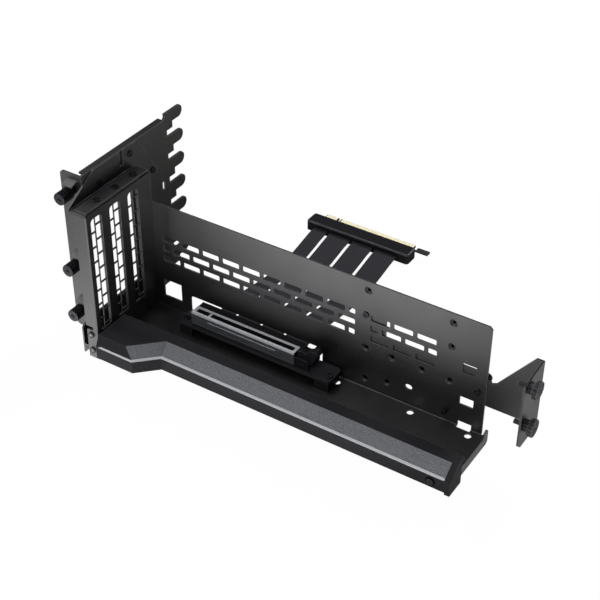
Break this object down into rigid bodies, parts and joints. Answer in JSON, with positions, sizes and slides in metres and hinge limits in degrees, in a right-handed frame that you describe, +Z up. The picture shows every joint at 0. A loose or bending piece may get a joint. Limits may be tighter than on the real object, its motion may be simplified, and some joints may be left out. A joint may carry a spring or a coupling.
{
  "type": "vertical gpu bracket",
  "caption": "Vertical graphics card bracket with a slotted cover frame, fingered rear panel, perforated wall and tray, riser socket with flat cable, and folded side brace.",
  "frame": {"origin": "on the rear panel's outer face, in the plane of the wall's front face and at the height of the tray's top", "axes": "+X from the rear panel along the bracket, +Y from the front trim to the back, +Z up"},
  "size_m": [0.3566, 0.2538, 0.1452],
  "materials": {
    "powder_coat_sheet": "fine textured powder coat",
    "powder_coat_frame": "fine textured powder coat",
    "powder_coat_panel": "fine textured powder coat",
    "powder_coat_brace": "fine textured powder coat",
    "powder_coat_clamp": "fine textured powder coat",
    "powder_coat_cover": "fine textured powder coat",
    "black_screws": "black oxide",
    "press_nuts": "black zinc",
    "foot_screws": "dark zinc",
    "ear_thumb_screws": "black oxide, knurled",
    "brace_thumb_screws": "black oxide, knurled",
    "trim_plastic": "fine spark texture",
    "trim_inlay": "speckled metallic grey",
    "board_mask": "black solder mask on glass-epoxy board",
    "block_plastic": "moulded",
    "socket_plastic": "moulded",
    "socket_shield": "satin",
    "gold_contacts": "gold plated",
    "latch_plastic": "moulded",
    "relief_plastic": "moulded",
    "cable_jacket": "matte flat cable jacket",
    "plug_mask": "black solder mask on glass-epoxy board",
    "plug_plastic": "moulded",
    "gold_pads": "gold plated"
  },
  "bodies": {
    "bracket": {"main_sheet": "powder_coat_sheet", "slot_frame": "powder_coat_frame", "rear_panel": "powder_coat_panel", "side_brace": "powder_coat_brace", "cover_clamp": "powder_coat_clamp", "slot_cover_1": "powder_coat_cover", "slot_cover_2": "powder_coat_cover", "slot_cover_3": "powder_coat_cover", "cover_screws": "black_screws", "upstand_screws": "black_screws", "foot_screws": "foot_screws", "face_screws": "foot_screws", "wall_screw": "black_screws", "brace_wall_screw": "black_screws", "wall_stud": "black_screws", "press_nuts": "press_nuts", "front_trim": "trim_plastic", "trim_inlay": "trim_inlay", "trim_end_screw": "black_screws", "trim_screws": "black_screws", "riser_board": "board_mask", "board_block_left": "block_plastic", "board_block_right": "block_plastic", "board_screws": "black_screws", "socket_body": "socket_plastic", "socket_shield": "socket_shield", "socket_contacts": "gold_contacts", "cable_relief": "relief_plastic", "cable_band_1": "cable_jacket", "cable_band_2": "cable_jacket", "cable_band_3": "cable_jacket", "cable_band_4": "cable_jacket", "plug_board": "plug_mask", "plug_shell": "plug_plastic", "plug_pads": "gold_pads", "brace_bolt": "black_screws"},
    "ear_thumb_upper": {"thumb_screw_upper": "ear_thumb_screws"},
    "ear_thumb_middle": {"thumb_screw_middle": "ear_thumb_screws"},
    "ear_thumb_lower": {"thumb_screw_lower": "ear_thumb_screws"},
    "brace_thumb_upper": {"brace_thumb_screw_upper": "brace_thumb_screws"},
    "brace_thumb_lower": {"brace_thumb_screw_lower": "brace_thumb_screws"},
    "latch": {"socket_latch": "latch_plastic"}
  },
  "joints": [
    {"name": "ear_thumb_upper_turn", "type": "hinge", "parent": "bracket", "child": "ear_thumb_upper", "pos_m": [-0.007, -0.062, 0.1224], "axis": [0, 1, 0], "continuous": true},
    {"name": "ear_thumb_middle_turn", "type": "hinge", "parent": "bracket", "child": "ear_thumb_middle", "pos_m": [-0.007, -0.062, 0.0614], "axis": [0, 1, 0], "continuous": true},
    {"name": "ear_thumb_lower_turn", "type": "hinge", "parent": "bracket", "child": "ear_thumb_lower", "pos_m": [-0.007, -0.062, 0.0208], "axis": [0, 1, 0], "continuous": true},
    {"name": "brace_thumb_upper_turn", "type": "hinge", "parent": "bracket", "child": "brace_thumb_upper", "pos_m": [0.332, -0.0182, 0.0724], "axis": [1, 0, 0], "continuous": true},
    {"name": "brace_thumb_lower_turn", "type": "hinge", "parent": "bracket", "child": "brace_thumb_lower", "pos_m": [0.332, -0.0182, 0.0406], "axis": [1, 0, 0], "continuous": true},
    {"name": "latch_turn", "type": "hinge", "parent": "bracket", "child": "latch", "pos_m": [0.1605, -0.01465, 0.015], "axis": [0, 1, 0], "range_deg": [0, 28]}
  ]
}
